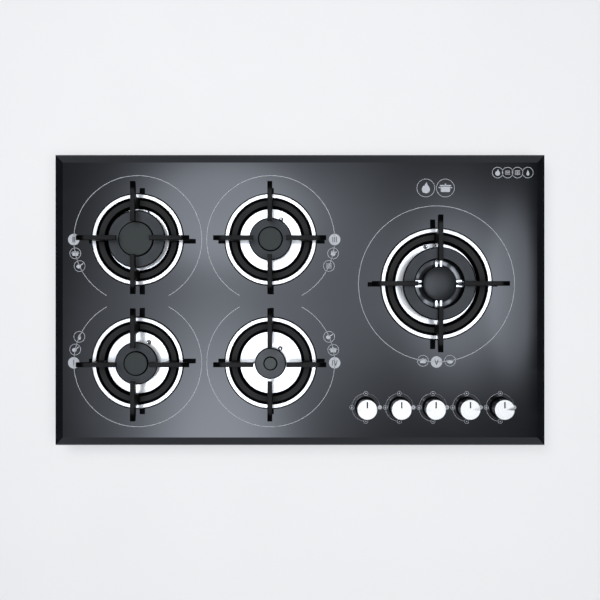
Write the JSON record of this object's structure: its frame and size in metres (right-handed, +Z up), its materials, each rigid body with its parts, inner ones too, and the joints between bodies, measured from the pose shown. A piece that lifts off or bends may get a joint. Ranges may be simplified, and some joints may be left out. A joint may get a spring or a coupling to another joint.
{
  "type": "gas cooktop",
  "caption": "Built-in gas cooktop: burners with lift-off caps and pan supports set in a bevelled black glass top, push-and-turn knobs at the front right, box below.",
  "frame": {"origin": "on the worktop's top surface at the centre of its cut-out, under the middle of the glass; the seal's lower face is z = 0", "axes": "+X to the user's right along the long side, +Y to the rear, +Z up, out of the worktop"},
  "size_m": [0.86, 0.51, 0.102],
  "materials": {
    "black_glass": "gloss, back-painted black tempered glass",
    "seal_foam": "matt closed-cell foam",
    "box_steel": "galvanised sheet steel",
    "polished_steel": "mirror-polished stainless steel",
    "cast_aluminium": "as cast",
    "support_enamel": "black satin enamel",
    "flame_ring_metal": "machined",
    "cap_enamel": "black matt enamel",
    "brass": "machined",
    "white_ceramic": "glazed",
    "probe_metal": "satin",
    "tap_brass": "forged",
    "black_rubber": "matt",
    "spindle_steel": "machined",
    "knob_metal": "brushed top, polished side",
    "manifold_steel": "drawn tube",
    "pipe_aluminium": "drawn tube",
    "clamp_steel": "zinc plated",
    "module_plastic": "moulded",
    "gland_plastic": "moulded"
  },
  "bodies": {
    "hob": {"glass_top": "black_glass", "worktop_seal": "seal_foam", "underbox": "box_steel", "burner_rails": "box_steel", "drip_dish_rear_left": "polished_steel", "burner_cup_rear_left": "cast_aluminium", "drip_dish_rear_middle": "polished_steel", "burner_cup_rear_middle": "cast_aluminium", "drip_dish_front_left": "polished_steel", "burner_cup_front_left": "cast_aluminium", "drip_dish_front_middle": "polished_steel", "burner_cup_front_middle": "cast_aluminium", "drip_dish_wok": "polished_steel", "burner_cup_wok": "cast_aluminium", "injectors": "brass", "spark_electrodes": "white_ceramic", "thermocouples": "probe_metal", "tap_bodies": "tap_brass", "knob_seals": "black_rubber", "gas_manifold": "manifold_steel", "gas_pipes": "pipe_aluminium", "gas_inlet": "brass", "clamp_screws": "clamp_steel", "ignition_module": "module_plastic", "cable_gland": "gland_plastic"},
    "tap_1": {"tap_plug_1": "tap_brass"},
    "knob_1": {"tap_spindle_1": "spindle_steel", "knob_1": "knob_metal"},
    "tap_2": {"tap_plug_2": "tap_brass"},
    "knob_2": {"tap_spindle_2": "spindle_steel", "knob_2": "knob_metal"},
    "tap_3": {"tap_plug_3": "tap_brass"},
    "knob_3": {"tap_spindle_3": "spindle_steel", "knob_3": "knob_metal"},
    "tap_4": {"tap_plug_4": "tap_brass"},
    "knob_4": {"tap_spindle_4": "spindle_steel", "knob_4": "knob_metal"},
    "tap_5": {"tap_plug_5": "tap_brass"},
    "knob_5": {"tap_spindle_5": "spindle_steel", "knob_5": "knob_metal"},
    "support_rear_left": {"pan_support_rear_left": "support_enamel"},
    "ring_rear_left": {"flame_ring_rear_left": "flame_ring_metal"},
    "cap_rear_left": {"burner_cap_rear_left": "cap_enamel"},
    "support_rear_middle": {"pan_support_rear_middle": "support_enamel"},
    "ring_rear_middle": {"flame_ring_rear_middle": "flame_ring_metal"},
    "cap_rear_middle": {"burner_cap_rear_middle": "cap_enamel"},
    "support_front_left": {"pan_support_front_left": "support_enamel"},
    "ring_front_left": {"flame_ring_front_left": "flame_ring_metal"},
    "cap_front_left": {"burner_cap_front_left": "cap_enamel"},
    "support_front_middle": {"pan_support_front_middle": "support_enamel"},
    "ring_front_middle": {"flame_ring_front_middle": "flame_ring_metal"},
    "cap_front_middle": {"burner_cap_front_middle": "cap_enamel"},
    "support_wok": {"pan_support_wok": "support_enamel"},
    "ring_wok": {"flame_ring_wok": "flame_ring_metal"},
    "cap_wok_crown": {"burner_cap_wok_crown": "cap_enamel"},
    "cap_wok_centre": {"burner_cap_wok_centre": "cap_enamel"},
    "clamp_front_left": {"clamp_front_left": "clamp_steel"},
    "clamp_front_right": {"clamp_front_right": "clamp_steel"},
    "clamp_rear_left": {"clamp_rear_left": "clamp_steel"},
    "clamp_rear_right": {"clamp_rear_right": "clamp_steel"}
  },
  "joints": [
    {"name": "knob_1_turn", "type": "hinge", "parent": "hob", "child": "tap_1", "pos_m": [0.1154, -0.1883, 0], "axis": [0, 0, 1], "range_deg": [0, 180]},
    {"name": "knob_1_push", "type": "slide", "parent": "tap_1", "child": "knob_1", "axis": [0, 0, 1], "range_m": [-0.0035, 0], "stiffness_N_per_m": 1500, "springref_m": 0.006},
    {"name": "knob_2_turn", "type": "hinge", "parent": "hob", "child": "tap_2", "pos_m": [0.1743, -0.1883, 0], "axis": [0, 0, 1], "range_deg": [0, 180]},
    {"name": "knob_2_push", "type": "slide", "parent": "tap_2", "child": "knob_2", "axis": [0, 0, 1], "range_m": [-0.0035, 0], "stiffness_N_per_m": 1500, "springref_m": 0.006},
    {"name": "knob_3_turn", "type": "hinge", "parent": "hob", "child": "tap_3", "pos_m": [0.2332, -0.1883, 0], "axis": [0, 0, 1], "range_deg": [0, 180]},
    {"name": "knob_3_push", "type": "slide", "parent": "tap_3", "child": "knob_3", "axis": [0, 0, 1], "range_m": [-0.0035, 0], "stiffness_N_per_m": 1500, "springref_m": 0.006},
    {"name": "knob_4_turn", "type": "hinge", "parent": "hob", "child": "tap_4", "pos_m": [0.2921, -0.1883, 0], "axis": [0, 0, 1], "range_deg": [0, 180]},
    {"name": "knob_4_push", "type": "slide", "parent": "tap_4", "child": "knob_4", "axis": [0, 0, 1], "range_m": [-0.0035, 0], "stiffness_N_per_m": 1500, "springref_m": 0.006},
    {"name": "knob_5_turn", "type": "hinge", "parent": "hob", "child": "tap_5", "pos_m": [0.351, -0.1883, 0], "axis": [0, 0, 1], "range_deg": [0, 180]},
    {"name": "knob_5_push", "type": "slide", "parent": "tap_5", "child": "knob_5", "axis": [0, 0, 1], "range_m": [-0.0035, 0], "stiffness_N_per_m": 1500, "springref_m": 0.006},
    {"name": "support_rear_left_lift", "type": "slide", "parent": "hob", "child": "support_rear_left", "axis": [0, 0, 1], "range_m": [0, 0.12]},
    {"name": "cap_rear_left_lift", "type": "slide", "parent": "hob", "child": "cap_rear_left", "axis": [0, 0, 1], "range_m": [0, 0.06]},
    {"name": "ring_rear_left_lift", "type": "slide", "parent": "hob", "child": "ring_rear_left", "axis": [0, 0, 1], "range_m": [0, 0.03]},
    {"name": "support_rear_middle_lift", "type": "slide", "parent": "hob", "child": "support_rear_middle", "axis": [0, 0, 1], "range_m": [0, 0.12]},
    {"name": "cap_rear_middle_lift", "type": "slide", "parent": "hob", "child": "cap_rear_middle", "axis": [0, 0, 1], "range_m": [0, 0.06]},
    {"name": "ring_rear_middle_lift", "type": "slide", "parent": "hob", "child": "ring_rear_middle", "axis": [0, 0, 1], "range_m": [0, 0.03]},
    {"name": "support_front_left_lift", "type": "slide", "parent": "hob", "child": "support_front_left", "axis": [0, 0, 1], "range_m": [0, 0.12]},
    {"name": "cap_front_left_lift", "type": "slide", "parent": "hob", "child": "cap_front_left", "axis": [0, 0, 1], "range_m": [0, 0.06]},
    {"name": "ring_front_left_lift", "type": "slide", "parent": "hob", "child": "ring_front_left", "axis": [0, 0, 1], "range_m": [0, 0.03]},
    {"name": "support_front_middle_lift", "type": "slide", "parent": "hob", "child": "support_front_middle", "axis": [0, 0, 1], "range_m": [0, 0.12]},
    {"name": "cap_front_middle_lift", "type": "slide", "parent": "hob", "child": "cap_front_middle", "axis": [0, 0, 1], "range_m": [0, 0.06]},
    {"name": "ring_front_middle_lift", "type": "slide", "parent": "hob", "child": "ring_front_middle", "axis": [0, 0, 1], "range_m": [0, 0.03]},
    {"name": "support_wok_lift", "type": "slide", "parent": "hob", "child": "support_wok", "axis": [0, 0, 1], "range_m": [0, 0.12]},
    {"name": "cap_wok_crown_lift", "type": "slide", "parent": "hob", "child": "cap_wok_crown", "axis": [0, 0, 1], "range_m": [0, 0.06]},
    {"name": "cap_wok_centre_lift", "type": "slide", "parent": "hob", "child": "cap_wok_centre", "axis": [0, 0, 1], "range_m": [0, 0.06]},
    {"name": "ring_wok_lift", "type": "slide", "parent": "hob", "child": "ring_wok", "axis": [0, 0, 1], "range_m": [0, 0.03]},
    {"name": "clamp_front_left_swing", "type": "hinge", "parent": "hob", "child": "clamp_front_left", "pos_m": [-0.27, -0.215, 0], "axis": [0, 0, 1], "range_deg": [-90, 0]},
    {"name": "clamp_front_right_swing", "type": "hinge", "parent": "hob", "child": "clamp_front_right", "pos_m": [0.27, -0.215, 0], "axis": [0, 0, 1], "range_deg": [-90, 0]},
    {"name": "clamp_rear_left_swing", "type": "hinge", "parent": "hob", "child": "clamp_rear_left", "pos_m": [-0.27, 0.215, 0], "axis": [0, 0, 1], "range_deg": [0, 90]},
    {"name": "clamp_rear_right_swing", "type": "hinge", "parent": "hob", "child": "clamp_rear_right", "pos_m": [0.27, 0.215, 0], "axis": [0, 0, 1], "range_deg": [0, 90]}
  ],
  "couplings": [
    {"joint": "cap_rear_left_lift", "follows": "support_rear_left_lift", "ratio": 0.5},
    {"joint": "ring_rear_left_lift", "follows": "support_rear_left_lift", "ratio": 0.25},
    {"joint": "cap_rear_middle_lift", "follows": "support_rear_middle_lift", "ratio": 0.5},
    {"joint": "ring_rear_middle_lift", "follows": "support_rear_middle_lift", "ratio": 0.25},
    {"joint": "cap_front_left_lift", "follows": "support_front_left_lift", "ratio": 0.5},
    {"joint": "ring_front_left_lift", "follows": "support_front_left_lift", "ratio": 0.25},
    {"joint": "cap_front_middle_lift", "follows": "support_front_middle_lift", "ratio": 0.5},
    {"joint": "ring_front_middle_lift", "follows": "support_front_middle_lift", "ratio": 0.25},
    {"joint": "cap_wok_crown_lift", "follows": "support_wok_lift", "ratio": 0.5},
    {"joint": "cap_wok_centre_lift", "follows": "support_wok_lift", "ratio": 0.5},
    {"joint": "ring_wok_lift", "follows": "support_wok_lift", "ratio": 0.25}
  ]
}
